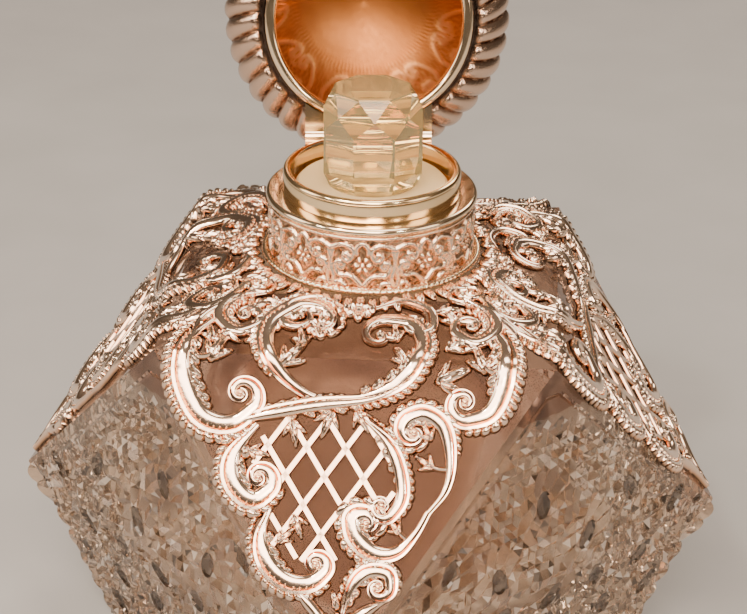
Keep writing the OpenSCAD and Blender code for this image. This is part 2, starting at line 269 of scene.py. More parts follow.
class Relief:
    """Collects raised ornament in flat coordinates: across, up and height above the sheet."""

    def __init__(self):
        self.points = []
        self.faces = []
        self.lines = []
        self.count = 0

    def add(self, points, faces):
        self.points.append(points)
        self.faces += [tuple(i + self.count for i in f) for f in faces]
        self.count += len(points)

    def sweep(self, rows):
        """Joins rows of points, side by side, into one closed tube."""
        self.add(np.stack(rows, 1).reshape(-1, 3), tube_faces(len(rows[0]), len(rows)))

    def ribbon(self, path, width, height, profile=GROOVED, taper=(0.3, 0.35), side=1):
        """Sweeps a raised profile along a path, narrowing to taper at its two ends."""
        self.lines.append(path)
        t = np.linspace(0, 1, len(path))
        normal = frame_along(path)[1] * side
        swell = (taper[0] + (1 - taper[0]) * smooth_step(0, 0.3, t)) \
            * (taper[1] + (1 - taper[1]) * smooth_step(0, 0.55, 1 - t))
        self.sweep([np.column_stack([path + normal * (s * width / 2 * swell)[:, None],
                                     z * height * (0.55 + 0.45 * swell)]) for s, z in profile])

    def mound(self, centre, length, width, angle, height, point=0.55):
        """A leaf lobe: a low closed dome, rounded at its root, narrower at its tip, with a vein."""
        around, rings = 16, 4
        turn = full_turn(around)
        rows = []
        for ring in range(rings):
            lift = ring / rings * math.pi / 2
            along = np.cos(turn) * math.cos(lift)
            across = np.sin(turn) * math.cos(lift) * (1 - point * (0.5 + 0.5 * np.cos(turn)))
            z = height * math.sin(lift) * (1 - 0.3 * np.exp(-(across * 5) ** 2))
            rows.append(np.stack([along * length / 2, across * width / 2, z], 1))
        rows.append([[0, 0, height * 0.72]])
        top, last = rings * around, (rings - 1) * around
        faces = grid_faces(rings, around)
        faces += [(last + i, last + (i + 1) % around, top) for i in range(around)]
        faces.append(tuple(range(around - 1, -1, -1)))
        self.add(about_z(np.concatenate(rows), angle) + (*centre, 0), faces)

    def bead(self, centre, radius, height):
        self.mound(centre, 2 * radius, 2 * radius, 0, height, point=0)

    def leaves(self, path, side, start, end, pitch, length, width, height, lean=0.7, edge=1.0):
        """A row of lobes that springs from one side of a path, largest half way along."""
        run = run_along(path)
        count = max(2, int((end - start) * run[-1] / pitch))
        for i in range(count):
            f = (i + 0.5) / count
            place, heading, left = step_at(path, run, (start + (end - start) * f) * run[-1])
            out = heading + side * lean
            size = 0.55 + 0.45 * math.sin(math.pi * f)
            tip = place + left * side * edge + unit(out) * length * size * 0.3
            self.mound(tip, length * size, width * (0.5 + 0.5 * size), out,
                       height * (0.7 + 0.3 * size), point=0.25)

    def spray(self, root, heading, length, height=1.6):
        """A three-lobed leaf on a stem from the nearest scroll."""
        near = np.concatenate(self.lines)
        start = near[np.argmin(np.linalg.norm(near - root, axis=1))]
        stem = spline([start, np.array(root) * 0.8 + start * 0.2, root + unit(heading) * length * 0.5])
        self.ribbon(stem, 1.1, height * 0.8, ROUND, taper=(0.9, 0.5))
        for turn, part in ((0, 1), (0.72, 0.7), (-0.72, 0.7)):
            reach = length * part
            self.mound(root + unit(heading + turn) * reach * 0.42, reach * 1.15, reach * 0.4 + 0.3,
                       heading + turn, height * (0.6 + 0.4 * part), point=0.4)

    def gadroon(self, path, side, start, end, root, reach, pitch, height, lean=0.5):
        """A fluted rim along one side of a path: close-set lobes that lean, with a scalloped edge."""
        run = run_along(path)
        at = np.arange(start * run[-1], end * run[-1], pitch / 7)
        line = sample(path, run, at)
        tangent, left = frame_along(line)
        lobe = np.sqrt(np.abs(np.sin(math.pi * (at - at[0]) / pitch)))
        swell = 0.25 + 0.75 * np.sqrt(np.sin(math.pi * np.linspace(0.03, 0.97, len(at))))
        rows = []
        for f, z in ((0, 0), (0.02, 0.7), (0.3, 1), (0.62, 0.96), (0.88, 0.62), (1, 0)):
            out = root + reach * f * swell * (0.8 + 0.2 * lobe)
            place = line + left * side * out[:, None] + tangent * (lean * reach * f * swell)[:, None]
            rows.append(np.column_stack([place, height * z * swell * (0.4 + 0.6 * lobe)]))
        self.sweep(rows)

    def beading(self, path, offset, start, end, pitch, radius, height):
        """Small punched beads along a path's side."""
        run = run_along(path)
        for at in np.arange(start * run[-1], end * run[-1], pitch):
            place, _, left = step_at(path, run, at)
            self.bead(place + left * offset, radius, height)

    def rosette(self, centre, radius, petals=6, height=1.4):
        """A small open flower."""
        for i in range(petals):
            a = 2 * math.pi * (i + 0.5) / petals
            self.mound(centre + unit(a) * radius * 0.62, radius * 0.95, radius * 0.78, a, height, point=0.1)
        self.bead(centre, radius * 0.34, height * 1.25)


# ---------------------------------------------------------------- the pierced mounts

FACET_TILT = math.atan2(SHOULDER_Z - GIRDLE_Z, GIRDLE - SHOULDER)
ROOF_TILT = math.atan2(COLLAR_Z - SHOULDER_Z, SHOULDER - ROOF_HALF)
ROOF_LEN = (SHOULDER - ROOF_HALF) / math.cos(ROOF_TILT)
MOUNT_GAP = 0.05


def lay_on_facet(points, quarter):
    """Lays flat ornament on one facet and over the fold onto the roof above it."""
    u, v, h = points[:, 0], points[:, 1], points[:, 2]
    soft = 4.0
    share = smooth_step(-soft, soft, v)
    flat = np.clip(v - ROOF_LEN, 0, None)
    v = np.minimum(v, ROOF_LEN)
    y = -SHOULDER + v * ((1 - share) * math.cos(FACET_TILT) + share * math.cos(ROOF_TILT)) + flat
    z = SHOULDER_Z + v * ((1 - share) * math.sin(FACET_TILT) + share * math.sin(ROOF_TILT))
    bend = (FACET_TILT + (ROOF_TILT - FACET_TILT) * share) * (1 - smooth_step(0, 1, flat))
    y = y - np.sin(bend) * (h + MOUNT_GAP)
    z = z + np.cos(bend) * (h + MOUNT_GAP)
    return about_z(np.stack([u, y, z], 1), quarter * math.pi / 2)


def inside(polygon, point):
    """Whether a point lies in a polygon."""
    hit = False
    for (x0, y0), (x1, y1) in zip(polygon, polygon[1:] + polygon[:1]):
        if (y0 > point[1]) != (y1 > point[1]) and point[0] < (x1 - x0) * (point[1] - y0) / (y1 - y0) + x0:
            hit = not hit
    return hit


def add_trellis(sheet):
    """Diagonal bars behind the scrolls."""
    field = [(-13.5, -10.5), (2.5, -10), (8, -16), (9, -24), (3, -29), (1.5, -34), (-3, -38),
             (-12.5, -34), (-13, -27), (-17, -19)]
    pitch, slope, middle = 6.9, math.radians(56), (-3.8, -21.2)
    for side in (-1, 1):
        for i in range(-4, 5):
            line = [(middle[0] + i * pitch + s * side * math.cos(slope), middle[1] + s * math.sin(slope))
                    for s in np.arange(-24, 24, 0.5)]
            run = [q for q in line if inside(field, q)]
            if len(run) > 5:
                sheet.ribbon(np.array(run), 1.25, 0.9, FLAT, taper=(1, 1))


# The scrolls of one mount: points, eye at the start, eye at the end, turns round it, width, height,
# outer side, lobes' length, whether the groove is beaded
SCROLLS = [
    ([(-26.2, 7.4), (-30, 2.2), (-30.4, -4.6), (-26.6, -11.6), (-20.8, -12.8), (-16.4, -9.2)],
     None, (-19.6, -7.2), 1.4, 4.2, 1.8, -1, 3.4, True),
    ([(-11.2, 12.6), (-15.8, 7.6), (-15.8, 1), (-12, -4), (-6, -7.4), (0.5, -7)],
     (-6.4, 7.4), None, 0.7, 3.6, 1.7, -1, 2.6, True),
    ([(-3, -7.6), (4.8, -6), (10.2, -2.2), (12.4, 3.4), (10.4, 8.6), (6, 9.6)],
     None, (4.4, 5.4), 1.3, 3.3, 1.7, -1, 2.6, True),
    ([(22.8, 10.4), (26.8, 4.6), (27.2, -2.4), (25, -8.4), (20.4, -10.4)],
     None, (20.2, -6.8), 1.4, 3.8, 1.7, 1, 3.2, False),
    ([(-16.2, -12.6), (-20.3, -18.2), (-20, -23.2), (-16.2, -26.2), (-12.8, -23.8)],
     None, (-15.4, -22), 1.4, 3.9, 1.7, -1, 2.8, True),
    ([(10, -9.9), (13.2, -8.8), (16.9, -11.2), (18.3, -16.8), (17.8, -22.2), (14.8, -26.6)],
     (11.6, -12.6), None, 1.1, 3.2, 1.6, 1, 2.4, False),
    ([(2.6, -10.6), (7.2, -14.6), (9.6, -19.4), (10.2, -24.4), (8.2, -28)],
     None, (6.6, -25.8), 1.4, 2.8, 1.6, 1, 2, False),
    ([(1.2, -28), (2.2, -31.6), (5.6, -34.2), (9.8, -33.8), (13, -30), (14.8, -26.4)],
     (4, -29.2), None, 1, 3.8, 1.7, -1, 2.6, True),
    ([(-13, -27.4), (-14.4, -32.6), (-12.6, -37.4), (-8.8, -40.1), (-4.8, -40), (-2, -37.4)],
     None, (-4.4, -36.6), 1.4, 3.9, 1.7, -1, 2.4, True),
    ([(1, -44.8), (2.2, -40), (4.8, -37.2), (8.6, -37.4), (9.3, -40.4)],
     None, (6.8, -40), 1.2, 2.9, 1.6, 1, 2, False)]
ROSETTE_EYE = (-6.4, 7.4)

# The leaf sprays that fill the spaces: root, heading and length
SPRAYS = [((-25.4, -1.2), 1.15, 6.4), ((-24, 4.4), 0.2, 6), ((-12.4, -1.6), 0.9, 6.2),
          ((-9.6, 2.4), 1.7, 4.6),
          ((9.6, -0.4), 2.2, 4.8), ((23.4, -1), 1.95, 6), ((22, 3.6), 2.7, 4.6), ((-3.2, -9.6), -1.9, 5.4),
          ((1.2, -9.4), -1, 4.6), ((-10, -11.6), -1.4, 5), ((-17.4, -17.2), -0.2, 4.2),
          ((15.2, -18.6), 2.6, 4.2),
          ((14.6, -13.6), 2.1, 3.6), ((-11, -33), 0.8, 4), ((10, -30.4), 2.3, 3.6),
          ((-8.6, -28.4), -1.2, 4.4),
          ((15.4, -3.2), 0.4, 6.4), ((-20, 10.2), 0.7, 5.4), ((18, 9.6), 2.2, 5.2)]


def mount_ornament():
    """The asymmetric rococo design of one mount: across in X, up the facet in Y, roof above 0."""
    sheet = Relief()
    add_trellis(sheet)
    for points, start_eye, end_eye, turns, width, height, outer, lobe, beaded in SCROLLS:
        path = scroll(points, start_eye, end_eye, turns)
        half = width / 2
        sheet.ribbon(path, width, height, side=outer)
        sheet.gadroon(path, outer, 0.02, 0.66, half - 0.55, lobe * 0.72, 1.3, height * 0.95)
        sheet.leaves(path, -outer, 0.08, 0.44, 2.7, lobe * 1.5, 2.9, height, lean=0.7, edge=half - 0.9)
        if beaded:
            sheet.beading(path, outer * half * 0.28, 0.1, 0.6, 1.15, 0.34, height * 1.12)
        eye = end_eye or start_eye
        if eye != ROSETTE_EYE:
            sheet.bead(eye, 1.05, 1.9)
    bridge = scroll([(-22.6, -13), (-15, -10.6), (-5.5, -8.4), (4, -6.8), (11, -3)])
    sheet.ribbon(bridge, 2.7, 1.9)
    sheet.leaves(bridge, 1, 0.12, 0.62, 2.2, 3.6, 2.3, 1.7, lean=0.4, edge=0.7)
    sheet.leaves(bridge, -1, 0.3, 0.7, 2.6, 3.4, 2.1, 1.6, lean=0.6, edge=0.7)
    for stem in ([(8.4, -42.2), (4.6, -44.4), (1.4, -47.6), (0.3, -53.4)],
                 [(-8.4, -40.4), (-4.6, -44), (-1.6, -48), (-0.3, -53.6)]):
        sheet.ribbon(scroll(stem), 2.4, 1.5, ROUND)
    for place, length, angle in (
            ((0, -46.6), 4.4, -1.57), ((2.6, -46.2), 3.6, -1.1), ((-2.6, -46.4), 3.6, -2),
            ((0, -50.6), 3.4, -1.57), ((-0.6, -42.6), 4, 1.9), ((2.2, -42.4), 3, 1.1)):
        sheet.mound(place, length, 2.2, angle, 1.5)
    sheet.rosette((-6.4, 7.2), 2.9)
    for root, heading, length in SPRAYS:
        sheet.spray(root, heading, length)
    add_roof_half(sheet, -1)
    add_roof_half(sheet, 1)
    add_collar_leaves(sheet)
    return sheet


def add_roof_half(sheet, side):
    """Scrolls and leaves on one half of the sloping roof between the fold and the collar."""
    def mirrored(*points):
        return [(side * x, y) for x, y in points]

    corner_eye, inner_eye, knot = mirrored((20.4, 9), (10.4, 9.6), (18.3, ROOF_LEN + 1.4))
    corner = scroll(mirrored((17.4, 15), (23, 13.2), (25, 8.6), (21.6, 5), (17.8, 7)),
                    end_eye=corner_eye, turns=1.2)
    sheet.ribbon(corner, 2.9, 1.6, side=-side)
    sheet.gadroon(corner, -side, 0.02, 0.55, 0.9, 1.9, 1.25, 1.5)
    sheet.beading(corner, -side * 0.4, 0.06, 0.5, 1.2, 0.32, 1.7)
    sheet.bead(corner_eye, 1, 1.7)
    edge = scroll(mirrored((29.6, 3.4), (28, 8.2), (23.4, 12.6), (18.6, 16)))
    sheet.ribbon(edge, 1.7, 1.5, ROUND, taper=(0.5, 0.7))
    sheet.leaves(edge, side, 0.1, 0.9, 1.9, 2.4, 1.7, 1.3, edge=0.5)
    inner = scroll(mirrored((3, 12.4), (7.6, 14.4), (12.6, 12.4), (13.6, 8)), end_eye=inner_eye, turns=1.2)
    sheet.ribbon(inner, 2.4, 1.5, side=-side)
    sheet.bead(inner_eye, 0.9, 1.6)
    for root, heading, length in (((16.6, 3.4), 0.5, 5.4), ((14.6, 12.4), 0.2, 4.6), ((7.4, 5), 1.8, 4.2),
                                  ((25.6, 2.6), 1.3, 4.6)):
        sheet.spray(*mirrored(root), heading if side > 0 else math.pi - heading, length, 1.5)
    turn = np.linspace(0, 2 * math.pi, 45)
    sheet.ribbon(knot + 2.2 * np.stack([np.cos(turn), np.sin(turn)], 1), 1.2, 1.3, ROUND, taper=(0.8, 0.8))
    sheet.bead(knot, 1.1, 1.5)


def add_collar_leaves(sheet):
    """A rosette, and a row of lobes round the foot of the collar."""
    sheet.rosette((0, 11.8), 2.6)
    for i in range(17):
        a = math.radians(-44 + 5.5 * i)
        reach = 23 + 0.6 * (i % 2)
        y = -reach * math.cos(a)
        v = (SHOULDER + y) / math.cos(ROOF_TILT) if y < -ROOF_HALF else ROOF_LEN + ROOF_HALF + y
        sheet.mound((reach * math.sin(a), v), 4.2, 2.3, a - math.pi / 2, 1.3, point=0.3)


def make_mounts():
    """Four mounts of one design, a quarter turn apart."""
    sheet = mount_ornament()
    points = np.concatenate(sheet.points)
    relief = np.clip(points[:, 2] / points[:, 2].max(), 0, 1)
    for quarter, name in enumerate(("front", "right", "back", "left")):
        piece = mesh_object(name + "_scrollwork", lay_on_facet(points, quarter), sheet.faces, [SILVER_CHASED],
                            sharp_deg=50, relief=relief)
        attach(piece, "bottle")
        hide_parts(name + "_mount")


# ---------------------------------------------------------------- the cut glass body

# The glass's looks, by their place in GLASS_LOOKS
CUT, POLISHED, CAVITY, GROUND, FACET, GLINT = range(6)
# Facets smaller than this are the ones that may glint
SMALL_FACET = 1.9


def panel_frame(corners):
    """A flat panel's own axes: origin, across, up and outward."""
    o = corners[0]
    across = (corners[1] - o) / np.linalg.norm(corners[1] - o)
    out = np.cross(across, corners[-1] - o)
    out /= np.linalg.norm(out)
    return o, across, np.cross(out, across), out


def edge_points(a, b, kind):
    """Points along an edge, the same from either side; cut edges are scalloped in towards the axis."""
    length = np.linalg.norm(b - a)
    pitch, depth = {"girdle": (5.6, 0.8), "corner": (5.8, 1.15), "plain": (6, 0)}[kind]
    cells = max(2, int(round(length / pitch)))
    t = np.linspace(0, 1, cells * (6 if depth else 1) + 1)[:-1]
    pts = a + (b - a) * t[:, None]
    inward = pts.copy()
    inward[:, 2] = 0
    inward /= np.linalg.norm(inward, axis=1)[:, None]
    offset = depth * (1 - np.abs(np.sin(math.pi * cells * t)) ** 0.7)
    offset[0] = 0
    if kind == "corner":
        drop = (GIRDLE_Z - pts[:, 2]) / 9
        offset -= 1.9 * np.sin(math.pi * np.clip(drop, 0, 1))
    return pts - inward * offset[:, None]


class Glass:
    """Gathers the panels of the glass and joins them along their shared edges."""

    def __init__(self):
        self.points = []
        self.faces = []
        self.looks = []
        self.index = {}

    def vertex(self, p):
        key = tuple(np.round(p, 3))
        if key not in self.index:
            self.index[key] = len(self.points)
            self.points.append(p)
        return self.index[key]

    def add(self, points, faces, looks):
        """looks holds the material's place in the list for each face."""
        ids = [self.vertex(p) for p in points]
        for f, look in zip(faces, looks):
            face = [ids[i] for i in f]
            if len(set(face)) == len(face):
                self.faces.append(face)
                self.looks.append(look)

    def panel(self, corners, rims, cuts, ovals=(), smooth_from=math.inf):
        """Fills a flat panel. rims holds its edge points in order; cuts are (x, y, height) inside it.

        Above the height smooth_from the panel is uncut and mirrors the silver around it; its glass there is
        tinted dark brown, a painted reflection of that silver."""
        o, across, up, out = panel_frame(corners)
        rim = np.concatenate(rims)
        flat = np.stack([(rim - o) @ across, (rim - o) @ up], 1)
        coords = [Vector(p) for p in flat] + [Vector(c[:2]) for c in cuts]
        raised = [o + across * x + up * y + out * z for x, y, z in cuts]
        solid = np.concatenate([rim, np.array(raised).reshape(-1, 3)])
        ring = list(range(len(rim)))
        edges = [(i, (i + 1) % len(rim)) for i in ring]
        verts, _, faces, origin, _, _ = delaunay_2d_cdt(coords, edges, [ring], 1, 1e-4)
        points = [solid[origin[i][0]] if origin[i] else o + across * v[0] + up * v[1]
                  for i, v in enumerate(verts)]
        rng = random.Random(5)

        def look_of(face):
            x, y = np.mean([verts[i] for i in face], axis=0)
            spread = max(abs(verts[i][0] - x) + abs(verts[i][1] - y) for i in face)
            chance = rng.random() if spread < SMALL_FACET else 0.5
            # Oval cuts and a few small facets take the near-black polished glass, painted dark reflections; a
            # few other small facets take the milky pale glinting glass, painted glints.
            if any(in_oval(x, y, oval, 0) for oval in ovals):
                return POLISHED
            if y > smooth_from:
                return FACET
            return POLISHED if chance < 0.05 else GLINT if chance > 0.94 else CUT

        self.add(points, faces, [look_of(f) for f in faces])


def in_oval(x, y, oval, margin):
    """Whether a point lies inside an oval cut grown by a margin."""
    ox, oy, w, h, lean = oval
    dx, dy = x - ox, y - oy
    along = dx * math.cos(lean) + dy * math.sin(lean)
    high = dy * math.cos(lean) - dx * math.sin(lean)
    return (along / (w + margin)) ** 2 + (high / (h + margin)) ** 2 < 1


def oval_point(oval, angle, half_w, half_h):
    """The point at an angle on an oval with the place and lean of an oval cut, and its own half axes."""
    x, y, _, _, lean = oval
    ex, ey = half_w * math.cos(angle), half_h * math.sin(angle)
    return x + ex * math.cos(lean) - ey * math.sin(lean), y + ex * math.sin(lean) + ey * math.cos(lean)


def oval_cut(oval):
    """A polished lens-shaped hollow: a rim, a ring near it, a ring half way in and the bottom."""
    x, y, half_w, half_h, _ = oval
    rings = ((1, 0, 12), (0.86, -0.45, 12), (0.45, -0.9, 8))
    return [(*oval_point(oval, a, half_w * scale, half_h * scale), z)
            for scale, z, steps in rings for a in full_turn(steps)] + [(x, y, -1)]


def star_cuts(oval, reach, rng):
    """Rays of ridges and valleys that fan out round an oval cut."""
    out = []
    for ring, grow in enumerate((0.9, 2.3, 3.9)):
        count = 14 + 4 * ring
        for n in range(count):
            x, y = oval_point(oval, 2 * math.pi * (n + 0.5 * ring) / count, oval[2] + grow, oval[3] + grow)
            x += rng.uniform(-0.15, 0.15)
            y += rng.uniform(-0.15, 0.15)
            force = reach(x, y)
            if force > 0.2:
                out.append((x, y, force * (-0.75 if n % 2 else rng.uniform(-0.1, 0.1))))
    return out


def diamond_cuts(width, height, reach, ovals, seed):
    """A crosscut field between the ovals and their rays: valleys where cuts cross, peaks between.

    reach(x, y) gives how strong the cutting is, 0 at the panel's polished margins."""
    rng = random.Random(seed)
    pitch, depth, star_room = 1.75, 0.88, 4.4
    wobble = 0.18 * pitch
    cuts = []
    for oval in ovals:
        cuts += oval_cut(oval)
        cuts += [c for c in star_cuts(oval, reach, rng)
                 if not any(in_oval(c[0], c[1], other, 0.7) for other in ovals)]
    for j in range(int(height / pitch * 2) + 2):
        for i in range(int(width / pitch) + 2):
            x, y = (i + 0.5 * (j % 2)) * pitch, j * pitch / 2
            force = reach(x, y)
            if force <= 0 or any(in_oval(x, y, oval, star_room) for oval in ovals):
                continue
            x += rng.uniform(-wobble, wobble)
            y += rng.uniform(-wobble, wobble)
            z = -depth * rng.uniform(0.7, 1.15) if j % 2 == 0 else rng.uniform(-0.12, 0.1)
            cuts.append((x, y, z * force))
    return cuts


def edge_distance(edges, x, y):
    """Distance of a point from the nearest of a panel's edges, given as (point, inward normal)."""
    return min((x - px) * nx + (y - py) * ny for px, py, nx, ny in edges)


def margin_reach(edges, clear, full):
    """Cutting strength by the distance to a panel's edges: none up to clear, all of it from full."""
    def reach(x, y):
        near = edge_distance(edges, x, y)
        return float(smooth_step(clear, full, near)) if near > clear else 0
    return reach


def corner_ring(reach, z, turn=0.0):
    """Four corners of a square by the distance of its corners from the axis, front corner first."""
    return [np.array([reach * math.cos(a), reach * math.sin(a), z])
            for a in (math.radians(-90 + turn + 90 * i) for i in range(4))]


def upper_side(side, height):
    """Cuts on one upright triangle: crosscut below, polished towards its tip and along its two sides."""
    slope = math.atan2(height, side / 2)
    nx, ny = math.sin(slope), math.cos(slope)
    edges = [(0, 0, nx, -ny), (side, 0, -nx, -ny), (0, 0, 0, 1)]
    sides = margin_reach(edges[:2], 4.2, 6)
    foot = margin_reach(edges[2:], 0.9, 1.4)

    def reach(x, y):
        return min(sides(x, y), foot(x, y)) * float(1 - smooth_step(0.6 * height, 0.8 * height, y))

    ovals = [(side * f, height * g, 1.8, 3.2, lean) for f, g, lean in
             ((0.12, 0.1, 0.6), (0.27, 0.25, -0.4), (0.4, 0.1, 0.3), (0.5, 0.38, 0.1), (0.63, 0.13, -0.35),
              (0.74, 0.27, 0.4), (0.88, 0.1, -0.6))]
    ovals += [(side * f, 1.9, 1.5, 0.95, 0.1) for f in (0.05, 0.95)]
    cuts = diamond_cuts(side, height, reach, ovals, 11)
    for t in np.arange(0.03, 0.93, 0.014):
        for inset, h in ((2.3, 0), (2.8, -0.2), (3.3, 0)):
            x, y = t * side / 2 + nx * inset, t * height - ny * inset
            if y > 0.8 and x < side / 2 - 0.4:
                cuts += [(x, y, h), (side - x, y, h)]
    return cuts, ovals, 0.8 * height


def lower_side(top, bottom, height):
    """Cuts on one lower panel, drawn upside down with the girdle at Y 0."""
    lean = (top - bottom) / 2
    length = math.hypot(lean, height)
    nx, ny = height / length, lean / length
    edges = [(0, 0, nx, -ny), (top, 0, -nx, -ny), (0, 0, 0, 1), (0, height, 0, -1)]
    ovals = []
    for row in range(3):
        for i in range(7 if row % 2 else 8):
            x = top * (i + (1 if row % 2 else 0.5)) / 8
            y = 6.5 + 11.5 * row
            if edge_distance(edges, x, y) > 4.6:
                ovals.append((x, y, 2, 3.5, 0.35 * (-1) ** (i + row)))
    ovals += [(x, 3.1, 1, 1.6, 0.5) for x in (5.4, top - 5.4)]
    return diamond_cuts(top, height, margin_reach(edges, 1, 1.5), ovals, 23), ovals


def line(a, b, kind="plain"):
    """An edge's points from a up to but not including b."""
    if tuple(a) <= tuple(b):
        return edge_points(a, b, kind)
    return np.concatenate([[a], edge_points(b, a, kind)[1:][::-1]])


def glass_outside(glass, foot, roof):
    """All panels of the cut outside, from the foot to the foot of the collar."""
    girdle = corner_ring(GIRDLE, GIRDLE_Z)
    shoulder = corner_ring(SHOULDER * math.sqrt(2), SHOULDER_Z, -45)
    side = np.linalg.norm(girdle[1] - girdle[0])
    foot_side = np.linalg.norm(foot[1] - foot[0])
    upper = upper_side(side, np.linalg.norm(shoulder[1] - (girdle[0] + girdle[1]) / 2))
    lower = lower_side(side, foot_side, math.hypot(GIRDLE_Z, (side - foot_side) / 2))
    for i in range(4):
        j = (i + 1) % 4
        a, b = girdle[i], girdle[j]
        fa, fb = foot[i], foot[j]
        sa, sb = shoulder[i], shoulder[j]
        ra, rb = roof[i], roof[j]
        glass.panel([a, b, sb], [line(a, b, "girdle"), line(b, sb), line(sb, a)], *upper)
        glass.panel([b, a, fa], [line(b, a, "girdle"), line(a, fa, "corner"), line(fa, fb),
                                 line(fb, b, "corner")], *lower)
        for corners in ([sa, a, sb], [sa, sb, rb, ra]):
            rims = [line(p, q) for p, q in zip(corners, corners[1:] + corners[:1])]
            glass.panel(corners, rims, [], smooth_from=-GIRDLE)


def glass_neck_and_hollow(glass, foot, roof):
    """The underside, the flat under the collar, the neck, the bore and the cavity."""
    steps = 64
    turn = full_turn(steps)

    def squared(half, z, spin=0.0):
        """A rounded square ring by its half width."""
        power, a = 3.4, turn - spin
        stretch = (np.abs(np.cos(a)) ** power + np.abs(np.sin(a)) ** power) ** (1 / power)
        return ring_points(half / stretch, turn, z)

    rim = np.concatenate([line(foot[(i + 1) % 4], foot[i]) for i in (3, 2, 1, 0)])
    kick = [ring_points(FOOT * share, turn, z) for share, z in ((0.62, 0), (0.55, 0.5), (0.3, 0.9))]
    fill_between(glass, rim, kick[0], np.array([0, 0, -1.0]))
    faces = [f[::-1] for f in grid_faces(3, steps)]
    glass.add(np.concatenate(kick), faces, [CUT] * len(faces))
    glass.add(kick[2], [tuple(range(steps - 1, -1, -1))], [CUT])
    top = np.concatenate([line(roof[i], roof[(i + 1) % 4]) for i in range(4)])
    hollow = [ring_points(r, turn, z) for r, z in (
        (NECK_R, COLLAR_Z), (NECK_R, LIP_Z - 0.6), (NECK_R - 0.6, LIP_Z), (BORE_R + 0.4, LIP_Z),
        (BORE_R, LIP_Z - 0.4), (BORE_R - 0.6, LIP_Z - 11.5), (BORE_R - 0.6, SHOULDER_Z - 3))]
    fill_between(glass, top, hollow[0], np.array([0, 0, 1.0]))
    hollow += [squared(half, SHOULDER_Z - drop)
               for half, drop in ((13, 5.5), (22, 8), (27.5, 13), (31.5, 24))]
    wall_half = (GIRDLE / math.sqrt(2)) - 9
    hollow += [squared(half, z, math.pi / 4) for half, z in (
        (34.5, SHOULDER_Z - 34), (wall_half - 1, GIRDLE_Z + 4), (wall_half - 1.5, GIRDLE_Z - 5),
        (wall_half - 6, GIRDLE_Z - 14), (27, 15.5), (21, 13.4), (10, 12.8))]
    row_looks = [CUT] + [GROUND] * 5 + [CAVITY] * (len(hollow) - 7)
    glass.add(np.concatenate(hollow), grid_faces(len(hollow), steps), np.repeat(row_looks, steps).tolist())
    glass.add(hollow[-1], [tuple(range(steps))], [CAVITY])


def fill_between(glass, outer, inner, out):
    """Fills the flat region between two closed rings of points."""
    both = np.concatenate([outer, inner])
    a, b = len(outer), len(inner)
    edges = [(i, (i + 1) % a) for i in range(a)] + [(a + i, a + (i + 1) % b) for i in range(b)]
    verts, _, faces, origin, _, _ = delaunay_2d_cdt([Vector(p[:2]) for p in both], edges, [], 0, 1e-5)
    hole = np.linalg.norm(inner[0][:2])
    points = np.array([both[origin[i][0]] for i in range(len(verts))])
    keep = []
    for f in faces:
        corners = points[list(f)]
        in_hole = (np.linalg.norm(corners[:, :2], axis=1) < hole + 0.01).all()
        if in_hole or np.linalg.norm(corners.mean(0)[:2]) < hole * 0.98:
            continue
        normal = np.cross(corners[1] - corners[0], corners[2] - corners[0])
        if np.linalg.norm(normal) > 0.01:
            keep.append(f if normal @ out > 0 else f[::-1])
    glass.add(points, keep, [CUT] * len(keep))


def make_glass_body():
    glass = Glass()
    foot = corner_ring(FOOT, 0)
    roof = corner_ring(ROOF_HALF * math.sqrt(2), COLLAR_Z, -45)
    glass_outside(glass, foot, roof)
    glass_neck_and_hollow(glass, foot, roof)
    piece = mesh_object("cut_glass_bottle", glass.points, glass.faces, GLASS_LOOKS, smooth=False)
    work = bmesh.new()
    work.from_mesh(piece.data)
    bmesh.ops.recalc_face_normals(work, faces=work.faces)
    work.to_mesh(piece.data)
    work.free()
    piece.data.polygons.foreach_set("material_index", glass.looks)
    piece.data.polygons.foreach_set("use_smooth", [look == CAVITY for look in glass.looks])
    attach(piece, "bottle")
    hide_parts("glass_body")


# ---------------------------------------------------------------- the stopper

